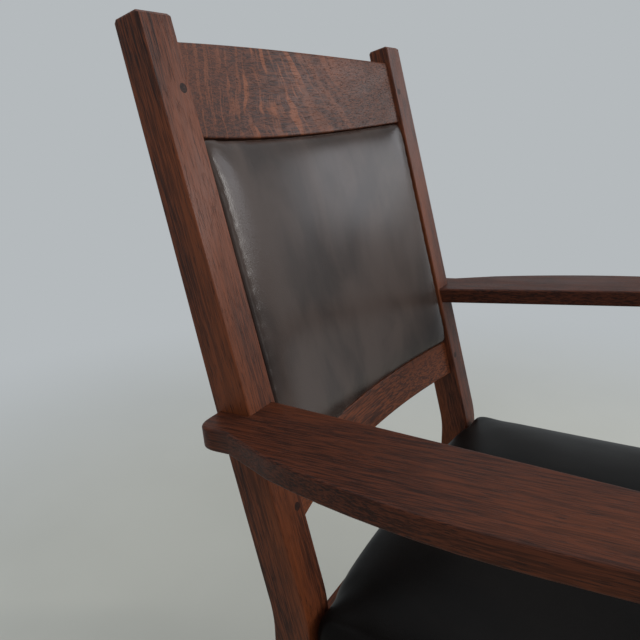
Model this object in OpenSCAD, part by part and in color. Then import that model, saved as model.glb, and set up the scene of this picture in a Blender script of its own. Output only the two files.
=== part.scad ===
// Armchair for a writing desk: oak frame, leather back pad and seat, swivel and tilt base on casters.
// Millimetres. +Z is up, the sitter faces -Y, and the origin is on the floor under the chair's middle.

/* [Back] */
// Clear width between the two rear posts
post_gap = 480; // [420:5:560]
// Width of a rear post, seen from the front
post_w = 45; // [36:1:56]
// Lean of the back from the vertical, in degrees
back_rake = 14.7; // [8:0.1:18]
// Length of a rear post above the arms, along the post
post_rise = 393; // [360:1:440]
// Depth of a rear post at its top
post_top_d = 32; // [30:1:40]
// Depth of a rear post at arm height
post_arm_d = 44; // [40:1:54]
// Depth of a rear post at the seat
post_seat_d = 46; // [42:1:56]
// How far the middle of the back lies behind its two sides
back_bow = 35; // [15:1:50]
// Height of the top rail at its ends
top_rail_h = 92; // [70:1:110]
// Rise of the top rail's upper edge at its middle
top_rail_crown = 17; // [5:1:25]
// Drop from the top of a post to the end of the top rail
top_rail_drop = 24; // [15:1:35]
// Height of the lower back rail
lower_rail_h = 56; // [40:1:70]
// Drop from arm height to the lower back rail, along the post
lower_rail_drop = 91; // [60:1:110]
// Thickness of the two back rails
back_rail_t = 22; // [18:1:25]
// How far the top rail lies behind the fronts of the posts
top_rail_setback = 6; // [2:1:8]
// How far the lower rail lies behind the fronts of the posts
lower_rail_setback = 10; // [4:1:14]
// Thickness of the padding and leather on the back
pad_t = 20; // [14:1:24]

/* [Arms] */
// Height of the arms at the rear posts
arm_z = 650; // [620:1:680]
// Rise of the arms towards the front, in degrees
arm_rise = 4.4; // [0:0.1:6]
// Splay of the arms' inner edges, in degrees
arm_splay = 7.2; // [5:0.1:8]
// Thickness of an arm
arm_t = 24; // [20:1:30]
// Reach of an arm in front of the middle of its front post
arm_overhang = 71; // [50:1:90]
// Reach of an arm behind the front of the rear post
arm_tail = 40; // [30:1:44]
// Width of an arm outside the rear post, at its tail
arm_wrap = 39; // [30:1:46]
// How much further out the arm bows at its widest
arm_bulge = 59; // [50:1:66]
// Distance of the widest place from the rear post
arm_wide_at = 300; // [260:5:340]
// How much the outer edge comes in again at the front
arm_draw = 8; // [0:1:20]

/* [Seat] */
// Height of the top of the seat rails over the floor
rail_top_z = 378; // [374:1:400]
// Height of the seat rails
rail_h = 60; // [54:1:62]
// Thickness of the seat rails
rail_t = 24; // [20:1:28]
// Depth of the seat frame, front to back
seat_depth = 440; // [420:1:470]
// Splay of the side rails, in degrees
seat_splay = 3; // [2:0.1:3.6]
// Height of the seat cushion over the rails at its middle
cushion_h = 74; // [60:1:85]
// Width of a front arm post
front_post_w = 45; // [38:1:50]
// Distance from the back of the seat to the middle of a front arm post
front_post_set = 395; // [360:5:405]
// Height of a corbel
corbel_h = 150; // [110:5:180]
// Reach of a corbel under the arm
corbel_w = 24; // [16:1:26]

/* [Tilt mechanism] */
// Distance from the back of the seat to the swivel axis
column_set = 173; // [160:1:190]
// Distance of the tilt axle in front of the swivel axis
axle_set = 45; // [42:1:52]
// Radius of the tilt axle
axle_r = 6; // [5:0.5:7]
// Distance of the tension rod in front of the tilt axle
rod_set = 60; // [54:1:68]
// Width of the tilt housing
housing_w = 90; // [84:1:100]
// Thickness of the sheet steel
sheet_t = 4; // [3:0.5:5]
// Radius of the tension knob
knob_r = 25; // [20:1:28]
// Turns of the tension spring
spring_turns = 5.5; // [4:0.5:6]
// Wire radius of the tension spring
spring_wire_r = 2.1; // [1.6:0.1:2.4]
// Reach of the height lever from the swivel axis
lever_reach = 285; // [240:5:300]

/* [Column and base] */
// Radius of the outer column tube
tube_r = 25; // [23:0.5:28]
// Radius of the gas cylinder
cylinder_r = 14; // [13:0.5:15]
// Distance of a caster from the swivel axis
caster_set = 284; // [265:1:300]
// Width of a base leg
leg_w = 38; // [30:1:39]
// Height of the hub block
hub_h = 84; // [70:1:92]
// Width of the hub block over two flat sides
hub_w = 96; // [94:1:106]
// Radius of a caster wheel
wheel_r = 28; // [24:1:30]
// Width of a caster wheel
wheel_w = 20; // [16:1:24]
// Distance of a caster's axle behind its stem
caster_trail = 18; // [14:1:22]

/* [Hidden] */
$fn = 48;

// Colours
oak = [0.30, 0.13, 0.08];
dark_oak = [0.18, 0.08, 0.05];
leather = [0.15, 0.12, 0.11];
black_steel = [0.13, 0.13, 0.14];
bright_steel = [0.70, 0.70, 0.72];
brass = [0.62, 0.47, 0.24];
rubber = [0.08, 0.08, 0.08];

// Clearances and the overrun of every cut
joint_gap = 0.25;       // round a tenon, a notch or a board in its seat
lay_gap = 0.2;          // between curved layers that lie on each other
run_gap = 0.05;         // round a pin or a shaft that turns or slides
move_gap = 0.3;         // between faces that pass each other
cut = 5;

// Wooden pieces
edge_r = 2.5;           // rounding of the frame's edges
board_edge_r = 1;       // rounding of boards and blocks
edge_steps = 3;
tenon_t = 10;
tenon_len = 22;
tenon_shoulder = 12;
tenon_wall = 4;
peg_r = 4.75;
peg_back = 5;           // wood left behind a peg
bend_r = 197;           // front of a rear post where it bends
bend_rise = 12;         // end of the bend over the seat rails
bend_steps = 6;
post_foot = 10;         // rear post below the seat rails
post_crop = 3;          // chamfer on top of a rear post
bow_steps = 24;
corner_steps = 4;

// Layers of the back
cover_t = 3;
cover_inset = 1;        // cover inside the top rail's rear face
cleat_t = 4;
cleat_w = 18;
board_t = 6;
pad_gap = 0.6;
pad_corner_r = 9;
pad_draw = 1.5;         // how far the pad's sides draw in

// Arms
arm_edge_r = 3;
arm_inner_gap = 4;      // inner edge outside the rear post's inner face
arm_tail_r = 22;
arm_front_r = 30;
arm_front_in_r = 12;
arm_steps = 16;
arm_bow_power = 0.75;
tenon_top = 28;         // side of the front post's through tenon
tenon_proud = 4.5;
tenon_bevel = 3;
corbel_t = 22;
corbel_tip = 4;
corbel_edge_r = 1.5;
corbel_steps = 6;
corbel_power = 2;

// Seat
rail_inset = 2;         // side rail inside the rear post's outer face
seat_board_t = 12;
block_h = 36;
block_leg = 55;
batten_h = 26;
batten_w = 50;
batten_set = 92;
batten_mid = 7;         // middle of the battens in front of the swivel axis
cushion_in = 0.6;       // cushion inside the rails' outer faces
cushion_corner_r = 18;
cushion_draw = 3;
cushion_bulge = 15.5;   // rear edge between the posts
cushion_side = 5;       // bulge clear of the posts' inner faces

// Tilt plate and its pins
plate_half = 75;
plate_front = 135;
plate_rear = 105;
plate_corner_r = 12;
bolt_x = 60;
bolt_r = 4;
bolt_gap = 0.2;
bolt_head_r = 7;
bolt_head_h = 5;
bolt_end = 4;           // wood left over a bolt
axle_drop = 26;         // axle below the plate
ear_gap = 1.2;
ear_r = 13;
pin_head = 3;           // thickness and extra radius of a pin's head
lug_t = 4;
lug_r = 9;
lug_gap = 0.5;
rod_eye_half = 8;
clevis_r = 4;
rod_r = 5;

// Tilt housing, its stops and its lever
housing_h = 86;         // floor of the housing below the plate
housing_drop = 10;      // side walls below the plate
housing_front = 130;
housing_rear = 50;
housing_slope = 20;     // fall of the side walls behind the axle
rear_wall_h = 50;
boss_r = 22;
boss_drop = 8;
boss_h = 30;
bumper_w = 14;
bumper_l = 12;
rear_bumper_h = 10;
rod_hole_r = 9;
lever_rise = 32;        // lever over the underside of the housing's floor
lever_pin_x = 30;
lever_pin_r = 2.5;
lever_r = 4;
lever_boss_r = 7;
lever_boss_half = 5;
lever_lug_t = 3;
lever_lug_r = 6;
lever_tip = 4;
lever_level = 32;       // level stretch outside the pin
lever_run = 60;
lever_drop = 20;
lever_bend_r = 14;      // middle of the rod, where it bends
lever_steps = 4;
lever_sides = 16;
lever_window = 14;
handle_l = 62;
handle_w = 28;
handle_t = 11;
handle_r = 9;
handle_edge = 4;

// Tension spring and knob
spring_r = 14.5;
spring_h = 44;
spring_sides = 6;
spring_rings = 8;
washer_t = 3;
washer_r = 19;
knob_h = 23;
knob_lobes = 8;
knob_lobe_h = 1.5;
knob_edge = 3;
knob_steps = 48;
rod_head_t = 6;
rod_head_r = 9;

// Column
tube_wall = 2;
tube_floor_t = 3;
tube_under = 6;         // tube below the hub
column_gap = 4;         // tilt housing over the guide bush
bush_h = 40;
bush_rim_t = 3;
bush_rim = 2;
cylinder_wall = 2.5;
cylinder_lift = 15;     // gas cylinder over the tube's floor
gland_h = 12;
cylinder_cap = 10;
piston_rod_r = 5;
piston_h = 15;
piston_under = 12;
valve_r = 2;
valve_in = 7;
thrust_r = 10;
thrust_t = 4;
clip_r = 8;
clip_t = 3;

// Hub and legs
hub_edge = 3;
flange_r = 44;
flange_t = 4;
screw_r = 2.4;
screw_l = 25;
screw_head_r = 4.5;
screw_head_h = 3;
screw_ring_r = 35;
leg_shoulder = 4;       // leg below the top of the hub
leg_toe = 22;           // leg past the caster
leg_toe_h = 36;
leg_toe_r = 12;
leg_arch = 16;
leg_root_lift = 2;      // underside of a leg over the underside of the hub
leg_steps = 9;
leg_tenon_l = 18;
leg_tenon_t = 16;
leg_tenon_inset = 14;

// Casters
crown_gap = 5;          // crown over the wheel
crown_t = 4;
crown_r = 16;
sleeve_flange_t = 1.5;
sleeve_flange_r = 11;
sleeve_r = 7;
sleeve_l = 22;
sleeve_end = 2;         // hole past the end of a sleeve
stem_r = 5;
fork_t = 2.5;
fork_gap = 1.5;
fork_neck = 9;
fork_eye_r = 8;
wheel_axle_r = 4;
tread_r = 4;
wheel_dish = 4;
wheel_hub_r = 9;
wheel_hub_proud = 1;
wheel_rim = 7;
wheel_slope = 2;

// Shares of a cushion's half width, and of its height, from its lower edge to its middle
cushion_shares = [[0.014, 0], [0.004, 0.12], [0, 0.26], [0.001, 0.40], [0.008, 0.52], [0.022, 0.60],
    [0.05, 0.675], [0.1, 0.75], [0.18, 0.82], [0.3, 0.885], [0.46, 0.94], [0.66, 0.98], [0.88, 1]];
// Shares of the back pad's half width, and of its thickness, from its rear face to its front
pad_shares = [[0.9, 0], [0.6, 0], [0.3, 0], [0.1, 0], [0.012, 0], [0.002, 0.2], [0, 0.38],
    [0.003, 0.53], [0.012, 0.65], [0.028, 0.735], [0.055, 0.81], [0.11, 0.88], [0.2, 0.93],
    [0.34, 0.965], [0.55, 0.99], [0.85, 1]];

// Places of the back and the arms
bend_end_z = rail_top_z + bend_rise;
bend_top_z = bend_end_z + bend_r * sin(back_rake);
seat_set = (arm_z - bend_top_z) * tan(back_rake) + bend_r * (1 - cos(back_rake));
arm_reach = (seat_set + front_post_set * cos(seat_splay)) / cos(arm_rise) + arm_overhang;
top_rail_top = post_rise - top_rail_drop;
front_reach = arm_reach * cos(arm_rise) + (arm_t - arm_edge_r) * sin(arm_rise);
rear_reach = (top_rail_top + top_rail_crown) * sin(back_rake)
    + (top_rail_setback + back_rail_t + back_bow) * cos(back_rake)
    - edge_r * (sin(back_rake) + cos(back_rake) - 1);
back_y = (front_reach - rear_reach) / 2;
seat_back_y = back_y - seat_set;
post_in_x = post_gap / 2;
post_out_x = post_in_x + post_w;
bow_r = (post_in_x * post_in_x + back_bow * back_bow) / (2 * back_bow);
top_rail_bottom = top_rail_top - top_rail_h;
lower_rail_top = -lower_rail_drop;
lower_rail_bottom = lower_rail_top - lower_rail_h;
cover_n = top_rail_setback + back_rail_t - cover_inset - cover_t;
cleat_n = cover_n - lay_gap - cleat_t;
board_n = cleat_n - lay_gap - board_t;
pad_n = board_n - lay_gap;

// Places of the seat
seat_front_y = seat_back_y - seat_depth;
column_y = seat_back_y - column_set;
rail_bottom_z = rail_top_z - rail_h;
board_z = rail_top_z - seat_board_t;
batten_y = column_y - batten_mid;
rear_tenon_l = post_w - rail_inset - rail_t / 2 - tenon_t / 2 - tenon_wall;
post_mid_y = seat_back_y - front_post_set * cos(seat_splay);

// Places of the tilt mechanism, hung from the battens
plate_z = board_z - batten_h - sheet_t;
axle_z = plate_z - axle_drop;
axle_y = column_y - axle_set;
rod_y = axle_y - rod_set;
axle_half = housing_w / 2 + ear_gap + sheet_t;
lug_x = rod_eye_half + lug_gap;
floor_z = plate_z - housing_h;
wall_top_z = plate_z - housing_drop;
boss_z = floor_z - boss_drop;
boss_top_z = boss_z + boss_h;
lever_z = floor_z + lever_rise;
lever_slope = atan2(lever_drop, lever_run);
handle_z = lever_z - lever_drop;
spring_z = floor_z - spring_h;
washer_z = spring_z - washer_t;
knob_z = washer_z - move_gap - knob_h;
rod_end_z = knob_z - move_gap - rod_head_t;

// Places of the base, from the floor up
crown_z = 2 * wheel_r + crown_gap;
leg_z = crown_z + crown_t + move_gap + sleeve_flange_t;
stem_l = move_gap + sleeve_flange_t + sleeve_l;
hub_top_z = leg_z + hub_h;
tube_z = leg_z - tube_under;
tube_top_z = boss_z - column_gap - bush_rim_t;
cylinder_z = tube_z + tube_floor_t + cylinder_lift;
bore_top_z = boss_top_z - cylinder_cap;
fork_half = wheel_w / 2 + fork_gap + wheel_hub_proud;

// Half width of the seat frame at y, over its outer and inner faces
function seat_out(y) = post_out_x - rail_inset + (seat_back_y - y) * tan(seat_splay);
function seat_in(y) = seat_out(y) - rail_t / cos(seat_splay);

// How far the back lies behind its sides at x
function bow(x) = sqrt(bow_r * bow_r - x * x) - sqrt(bow_r * bow_r - post_in_x * post_in_x);

// Height of the arms' upper and lower faces at y
function arm_top(y) = arm_z + (back_y - y) * tan(arm_rise);

function unit(v) = v / norm(v);
function at_z(p, z) = [for (q = p) [q.x, q.y, z]];

// An outline, anticlockwise, drawn in by d
function inset(p, d) = let (n = len(p)) [for (i = [0:n - 1]) let (
    a = unit(p[i] - p[(i + n - 1) % n]),
    b = unit(p[(i + 1) % n] - p[i]),
    na = [-a.y, a.x],
    nb = [-b.y, b.x]) p[i] + d * (na + nb) / (1 + na * nb)];

// A rounded corner at c between the neighbours a and b
function fillet(a, c, b, r, steps = corner_steps) = let (
    p = c + unit(a - c) * r,
    q = c + unit(b - c) * r)
    [for (k = [0:steps]) let (t = k / steps) (1 - t) * (1 - t) * p + 2 * t * (1 - t) * c + t * t * q];

// A closed outline with every corner rounded
function rounded(p, r, steps = corner_steps) = let (n = len(p)) [for (i = [0:n - 1])
    each fillet(p[(i + n - 1) % n], p[i], p[(i + 1) % n], r, steps)];

function box_outline(x0, x1, y0, y1) = [[x0, y0], [x1, y0], [x1, y1], [x0, y1]];

// Mean of a ring of points
function mean(r) = [for (k = [0:2]) [for (q = r) q[k]] * [for (q = r) 1] / len(r)];

// A closed surface through rings of points: flat ends, or fans round a middle point on soft forms
module skin(rings, soft = false) {
    n = len(rings[0]);
    m = len(rings);
    last = (m - 1) * n;
    sides = [for (j = [0:m - 2]) for (i = [0:n - 1]) let (a = j * n + i, b = j * n + (i + 1) % n)
        each [[a, a + n, b + n], [a, b + n, b]]];
    flat = [[for (i = [0:n - 1]) i], [for (i = [n - 1:-1:0]) last + i]];
    fans = [for (i = [0:n - 1]) let (k = (i + 1) % n)
        each [[m * n, i, k], [m * n + 1, last + k, last + i]]];
    middles = soft ? [mean(rings[0]), mean(rings[m - 1])] : [];
    polyhedron(points = concat([for (r = rings) each r], middles),
        faces = concat(sides, soft ? fans : flat));
}

// An outline t thick whose upper and lower edges are rounded
module eased(p, t, r = edge_r, steps = edge_steps) {
    angles = [for (k = [0:steps]) 90 * k / steps];
    lower = [for (a = angles) at_z(inset(p, r * (1 - sin(a))), r * (1 - cos(a)))];
    upper = [for (k = [steps:-1:0]) at_z(inset(p, r * (1 - sin(angles[k]))), t - r * (1 - cos(angles[k])))];
    skin(concat(lower, upper));
}

// Outlines drawn in the planes of the sides and of the front
module along_x() rotate([90, 0, 90]) children();
module along_y() rotate([90, 0, 0]) children();
module both_sides() {
    children();
    mirror([1, 0, 0]) children();
}

// The frame of the leaning back: y behind the posts' fronts, z along the posts from arm height
module in_back() translate([0, back_y, arm_z]) rotate([-back_rake, 0, 0]) children();

// The frame of the arms: z over their upper faces
module in_arms() translate([0, back_y, arm_z]) rotate([-arm_rise, 0, 0]) children();

// The frame of the right side rail: x out from its face, y along it from the rear post
module in_side() translate([seat_out(seat_back_y), seat_back_y, 0]) rotate([0, 0, seat_splay]) children();

// A board bowed like the back, between xa and xb, its front face n behind the posts' fronts
module bowed(xa, xb, n, t, z0, z1, crown = 0, r = board_edge_r, steps = bow_steps) {
    skin([for (i = [0:steps])
        let (x = xa + (xb - xa) * i / steps,
            y = n + bow(x),
            top = z1 + crown * (1 - x * x / (post_in_x * post_in_x)))
        [for (q = rounded(box_outline(y, y + t, z0, top), r, edge_steps)) [x, q.x, q.y]]]);
}

// One tenon of a back rail, or its mortise with g round it
module back_tenon(n, z0, z1, g = 0) {
    mid = n + back_rail_t / 2;
    translate([post_in_x - tenon_t, mid - tenon_t / 2 - g, z0 + tenon_shoulder - g])
        cube([tenon_t + tenon_len + g, tenon_t + 2 * g, z1 - z0 - 2 * tenon_shoulder + 2 * g]);
}

// The peg through one back tenon, at height z along the post
module back_peg(z, r, over = 0) {
    translate([post_in_x + tenon_len / 2, -over, z])
        rotate([-90, 0, 0]) cylinder(r = r, h = post_top_d - peg_back + over);
}
top_peg_z = (top_rail_top + top_rail_bottom) / 2;
lower_peg_z = (lower_rail_top + lower_rail_bottom) / 2;

// Side view of a rear post: bend below, taper above
function back_point(n, u) = [back_y + n * cos(back_rake) + u * sin(back_rake),
    arm_z - n * sin(back_rake) + u * cos(back_rake)];
function bend_arc(r, from, to) = [for (k = [0:bend_steps])
    let (a = from + (to - from) * k / bend_steps)
    [seat_back_y + bend_r - r * cos(a), bend_end_z + r * sin(a)]];
function rear_post_outline() = concat(
    [[seat_back_y, rail_bottom_z - post_foot], [seat_back_y + post_seat_d, rail_bottom_z - post_foot]],
    bend_arc(bend_r - post_seat_d, 0, back_rake),
    [back_point(post_arm_d, 0), back_point(post_top_d, post_rise - post_crop),
        back_point(post_top_d - post_crop, post_rise), back_point(post_crop, post_rise),
        back_point(0, post_rise - post_crop)],
    bend_arc(bend_r, back_rake, 0));

// Tenons of the seat rails in the rear posts, or their mortises with g round them
module side_rail_tenon(g = 0) {
    x = seat_out(seat_back_y) - rail_t / 2;
    translate([x - tenon_t / 2 - g, seat_back_y - tenon_t, rail_bottom_z + tenon_shoulder - g])
        cube([tenon_t + 2 * g, tenon_t + tenon_len + g, rail_h - 2 * tenon_shoulder + 2 * g]);
}
module rear_rail_tenon(g = 0) {
    y = seat_back_y + rail_t / 2;
    translate([post_in_x - tenon_t, y - tenon_t / 2 - g, rail_bottom_z + tenon_shoulder - g])
        cube([tenon_t + rear_tenon_l + g, tenon_t + 2 * g, rail_h - 2 * tenon_shoulder + 2 * g]);
}

module rear_post_right() color(oak) difference() {
    translate([post_in_x, 0, 0]) along_x() eased(rear_post_outline(), post_w);
    in_back() {
        back_tenon(top_rail_setback, top_rail_bottom, top_rail_top, joint_gap);
        back_tenon(lower_rail_setback, lower_rail_bottom, lower_rail_top, joint_gap);
        back_peg(top_peg_z, peg_r + run_gap, cut);
        back_peg(lower_peg_z, peg_r + run_gap, cut);
    }
    side_rail_tenon(joint_gap);
    rear_rail_tenon(joint_gap);
}
module rear_post_left() mirror([1, 0, 0]) rear_post_right();

module back_rail(n, z0, z1, crown, peg_z) color(oak) in_back() difference() {
    union() {
        bowed(-post_in_x, post_in_x, n, back_rail_t, z0, z1, crown, edge_r);
        both_sides() back_tenon(n, z0, z1);
    }
    both_sides() back_peg(peg_z, peg_r + run_gap, cut);
}
module top_rail()
    back_rail(top_rail_setback, top_rail_bottom, top_rail_top, top_rail_crown, top_peg_z);
module lower_back_rail()
    back_rail(lower_rail_setback, lower_rail_bottom, lower_rail_top, 0, lower_peg_z);

module joint_pegs() color(dark_oak) in_back() both_sides() {
    back_peg(top_peg_z, peg_r);
    back_peg(lower_peg_z, peg_r);
}

// The filling between the back rails: pad, board, cleats, cover
panel_z0 = lower_rail_top + joint_gap;
panel_z1 = top_rail_bottom - joint_gap;
module back_board() color(dark_oak) in_back()
    bowed(joint_gap - post_in_x, post_in_x - joint_gap, board_n, board_t, panel_z0, panel_z1);
module back_cleats() color(dark_oak) in_back() both_sides()
    bowed(post_in_x - cleat_w, post_in_x, cleat_n, cleat_t, panel_z0, panel_z1, steps = 2);
module back_cover() color(leather) in_back()
    bowed(joint_gap - post_in_x, post_in_x - joint_gap, cover_n, cover_t, panel_z0, panel_z1);

// Points along one side of a pad, from p to q, drawn in by d at the middle
function drawn_side(p, q, d, k) = let (e = unit(q - p), n = [-e.y, e.x])
    [for (i = [1:k - 1]) let (t = i / k) p + (q - p) * t + n * d * (1 - pow(2 * t - 1, 2))];
function pad_outline(c, r, d, k) = [for (i = [0:3])
    let (a = c[(i + 3) % 4], b = c[i], e = c[(i + 1) % 4])
    each concat(fillet(a, b, e, r, edge_steps),
        drawn_side(b + unit(e - b) * r, e + unit(b - e) * r, d, k))];

module back_pad() color(leather) in_back() {
    x = post_in_x - pad_gap;
    z0 = lower_rail_top + pad_gap;
    z1 = top_rail_bottom - pad_gap;
    middle = [0, (z0 + z1) / 2];
    outline = pad_outline(box_outline(-x, x, z0, z1), pad_corner_r, pad_draw, 11);
    skin([for (s = pad_shares) [for (q = outline)
        let (p = middle + (q - middle) * (1 - s[0])) [p.x, pad_n + bow(p.x) - pad_t * s[1], p.y]]], true);
}

// Plan of the right arm: straight inner edge, bowed outer edge, round tail
function arm_in_x(s) = post_in_x + arm_inner_gap + s * tan(arm_splay);
function arm_out_x(s) = post_out_x + arm_wrap + (s < arm_wide_at ?
    arm_bulge * pow(sin(90 * s / arm_wide_at), arm_bow_power) :
    arm_bulge - arm_draw * pow((s - arm_wide_at) / (arm_reach - arm_wide_at), 2));
function arm_outline() = let (
    tail = [post_out_x + arm_wrap, arm_tail],
    front_in = [arm_in_x(arm_reach), -arm_reach],
    front_out = [arm_out_x(arm_reach), -arm_reach],
    inner = [arm_in_x(-arm_tail), arm_tail],
    beside = [arm_out_x(arm_reach - arm_front_r), arm_front_r - arm_reach]) concat(
    [inner],
    fillet(inner, front_in, front_out, arm_front_in_r),
    fillet(front_in, front_out, beside, arm_front_r),
    [for (k = [2:arm_steps - 2]) let (s = (arm_reach - arm_front_r) * (1 - k / arm_steps))
        [arm_out_x(s), -s]],
    [[arm_out_x(0), 0]],
    fillet([post_out_x + arm_wrap, 0], tail, inner, arm_tail_r, edge_steps + corner_steps));

// A block square to the floor, round the front post's axis, in the frame of the side rail
module tenon_block(side, z0, z1, bevel = 0) {
    x = front_post_w / 2;
    square_at = function(h, z) at_z(box_outline(x - h, x + h, -front_post_set - h, h - front_post_set), z);
    skin(bevel > 0 ? [square_at(side / 2, z0), square_at(side / 2, z1 - bevel),
        square_at(side / 2 - bevel, z1)] : [square_at(side / 2, z0), square_at(side / 2, z1)]);
}

module arm_right() color(oak) difference() {
    in_arms() translate([0, 0, -arm_t]) eased(arm_outline(), arm_t, arm_edge_r);
    in_back() translate([post_in_x - cut, -joint_gap, -post_rise / 2])
        cube([post_w + cut + joint_gap, arm_tail + post_arm_d, post_rise]);
    in_side() tenon_block(tenon_top + 2 * joint_gap, rail_top_z, arm_top(seat_front_y) + arm_t);
}
module arm_left() mirror([1, 0, 0]) arm_right();

// Everything over the undersides of the arms
module over_arm_underside() in_arms() translate([0, -arm_reach - cut, -arm_t])
    cube([post_out_x + arm_reach, arm_reach + cut, arm_reach]);

module front_post_right() color(oak) {
    half = front_post_w / 2;
    plan = rounded(box_outline(0, front_post_w, -front_post_set - half, half - front_post_set),
        edge_r, edge_steps);
    difference() {
        in_side() translate([0, 0, rail_bottom_z]) eased(plan, arm_top(seat_front_y) - rail_bottom_z);
        over_arm_underside();
    }
    in_side() tenon_block(tenon_top, rail_top_z, arm_top(post_mid_y) + tenon_proud, tenon_bevel);
}
module front_post_left() mirror([1, 0, 0]) front_post_right();

// Corbel outside the front post, under the arm
function corbel_outline() = let (top = arm_top(post_mid_y), tip = top - arm_t - corbel_h) concat(
    [[0, tip], [corbel_tip, tip]],
    [for (k = [1:corbel_steps]) let (t = k / corbel_steps)
        [corbel_tip + (corbel_w - corbel_tip) * pow(t, corbel_power), tip + corbel_h * t]],
    [[corbel_w, top], [0, top]]);
module arm_corbels() color(oak) both_sides() difference() {
    in_side() translate([front_post_w, corbel_t / 2 - front_post_set, 0])
        along_y() eased(corbel_outline(), corbel_t, corbel_edge_r, 2);
    over_arm_underside();
}

// Rails of the seat, drawn in plan
function strip_outline(ya, yb) =
    [[-seat_out(ya), ya], [seat_out(ya), ya], [seat_out(yb), yb], [-seat_out(yb), yb]];
function inner_outline(ya, yb, g = 0) = [[g - seat_in(ya), ya], [seat_in(ya) - g, ya],
    [seat_in(yb) - g, yb], [g - seat_in(yb), yb]];
front_rail_y = seat_front_y + rail_t;
module side_rail_right() color(oak) {
    translate([0, 0, rail_bottom_z]) eased([[seat_in(front_rail_y), front_rail_y],
        [seat_out(front_rail_y), front_rail_y], [seat_out(seat_back_y), seat_back_y],
        [seat_in(seat_back_y), seat_back_y]], rail_h, board_edge_r);
    side_rail_tenon();
}
module side_rail_left() mirror([1, 0, 0]) side_rail_right();
module front_seat_rail() color(oak) translate([0, 0, rail_bottom_z])
    eased(strip_outline(seat_front_y, front_rail_y), rail_h, edge_r);
module rear_seat_rail() color(oak) {
    translate([0, 0, rail_bottom_z])
        eased(box_outline(-post_in_x, post_in_x, seat_back_y, seat_back_y + rail_t), rail_h, board_edge_r);
    both_sides() rear_rail_tenon();
}
module corner_blocks() color(dark_oak) both_sides() translate([0, 0, board_z - block_h]) {
    rear_y = seat_back_y - block_leg;
    fore_y = front_rail_y + block_leg;
    eased([[seat_in(seat_back_y) - block_leg, seat_back_y], [seat_in(rear_y), rear_y],
        [seat_in(seat_back_y), seat_back_y]], block_h, board_edge_r);
    eased([[seat_in(front_rail_y) - block_leg, front_rail_y], [seat_in(front_rail_y), front_rail_y],
        [seat_in(fore_y), fore_y]], block_h, board_edge_r);
}
module seat_board() color(dark_oak) translate([0, 0, board_z])
    eased(inner_outline(front_rail_y + joint_gap, seat_back_y - joint_gap, joint_gap),
        seat_board_t, board_edge_r);
module plate_battens() color(dark_oak) for (s = [-1, 1]) translate([0, 0, board_z - batten_h])
    difference() {
        y = batten_y + s * batten_set;
        eased(inner_outline(y - batten_w / 2, y + batten_w / 2), batten_h, board_edge_r);
        for (x = [-bolt_x, bolt_x]) translate([x, y, -cut])
            cylinder(r = bolt_r + bolt_gap, h = batten_h - bolt_end + cut);
    }

// Plan of the cushion: drawn in at the front and sides, swelling back between the rear posts
function cushion_back(p) = let (w = post_in_x - cushion_side)
    [p.x, p.y + (abs(p.x) < w ? cushion_bulge * sqrt(1 - pow(p.x / w, 2)) : 0)];
function cushion_outline() = let (
    ya = seat_front_y + cushion_in,
    yb = seat_back_y - move_gap,
    xa = seat_out(ya) - cushion_in,
    xb = seat_out(yb) - cushion_in,
    c = [[-xa, ya], [xa, ya], [xb, yb], [-xb, yb]],
    ends = [[-xb + cushion_corner_r, yb], [xb - cushion_corner_r, yb]]) concat(
    fillet(c[3], c[0], c[1], cushion_corner_r),
    drawn_side(c[0] + [cushion_corner_r, 0], c[1] - [cushion_corner_r, 0], cushion_draw, 12),
    fillet(c[0], c[1], c[2], cushion_corner_r),
    drawn_side(c[1] + unit(c[2] - c[1]) * cushion_corner_r, c[2] - unit(c[2] - c[1]) * cushion_corner_r,
        cushion_draw, 10),
    fillet(c[1], c[2], c[3], cushion_corner_r),
    [for (k = [1:19]) let (t = -cos(180 * k / 20)) cushion_back([-t * ends[1].x, yb])],
    fillet(c[2], c[3], c[0], cushion_corner_r),
    drawn_side(c[3] + unit(c[0] - c[3]) * cushion_corner_r, c[0] - unit(c[0] - c[3]) * cushion_corner_r,
        cushion_draw, 10));
module seat_cushion() color(leather) {
    middle = [0, (seat_back_y + seat_front_y) / 2];
    outline = cushion_outline();
    skin([for (s = cushion_shares) at_z([for (q = outline) middle + (q - middle) * (1 - s[0])],
        rail_top_z + cushion_h * s[1])], true);
}

// Tilt plate under the battens, with ears for the axle and lugs for the tension rod
module hanger(y, r, t, x) translate([x, 0, 0]) along_x() linear_extrude(t) {
    translate([y, axle_z]) circle(r = r);
    translate([y - r, axle_z]) square([2 * r, plate_z + sheet_t / 2 - axle_z]);
}
module tilt_plate() color(black_steel) difference() {
    union() {
        translate([0, column_y, plate_z]) linear_extrude(sheet_t)
            polygon(rounded(box_outline(-plate_half, plate_half, -plate_front, plate_rear), plate_corner_r));
        both_sides() {
            hanger(axle_y, ear_r, sheet_t, housing_w / 2 + ear_gap);
            hanger(rod_y, lug_r, lug_t, lug_x);
        }
    }
    translate([-axle_half - cut, axle_y, axle_z])
        along_rod() cylinder(r = axle_r + run_gap, h = 2 * (axle_half + cut));
    translate([-lug_x - lug_t - cut, rod_y, axle_z])
        along_rod() cylinder(r = clevis_r + run_gap, h = 2 * (lug_x + lug_t + cut));
    for (x = [-bolt_x, bolt_x]) for (s = [-1, 1])
        translate([x, batten_y + s * batten_set, plate_z - cut])
            cylinder(r = bolt_r + bolt_gap, h = sheet_t + 2 * cut);
}
module plate_bolts() color(bright_steel) for (x = [-bolt_x, bolt_x]) for (s = [-1, 1])
    translate([x, batten_y + s * batten_set, plate_z]) {
        translate([0, 0, -bolt_head_h]) cylinder(r = bolt_head_r, h = bolt_head_h, $fn = 6);
        cylinder(r = bolt_r, h = sheet_t + batten_h - bolt_end);
    }

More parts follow.
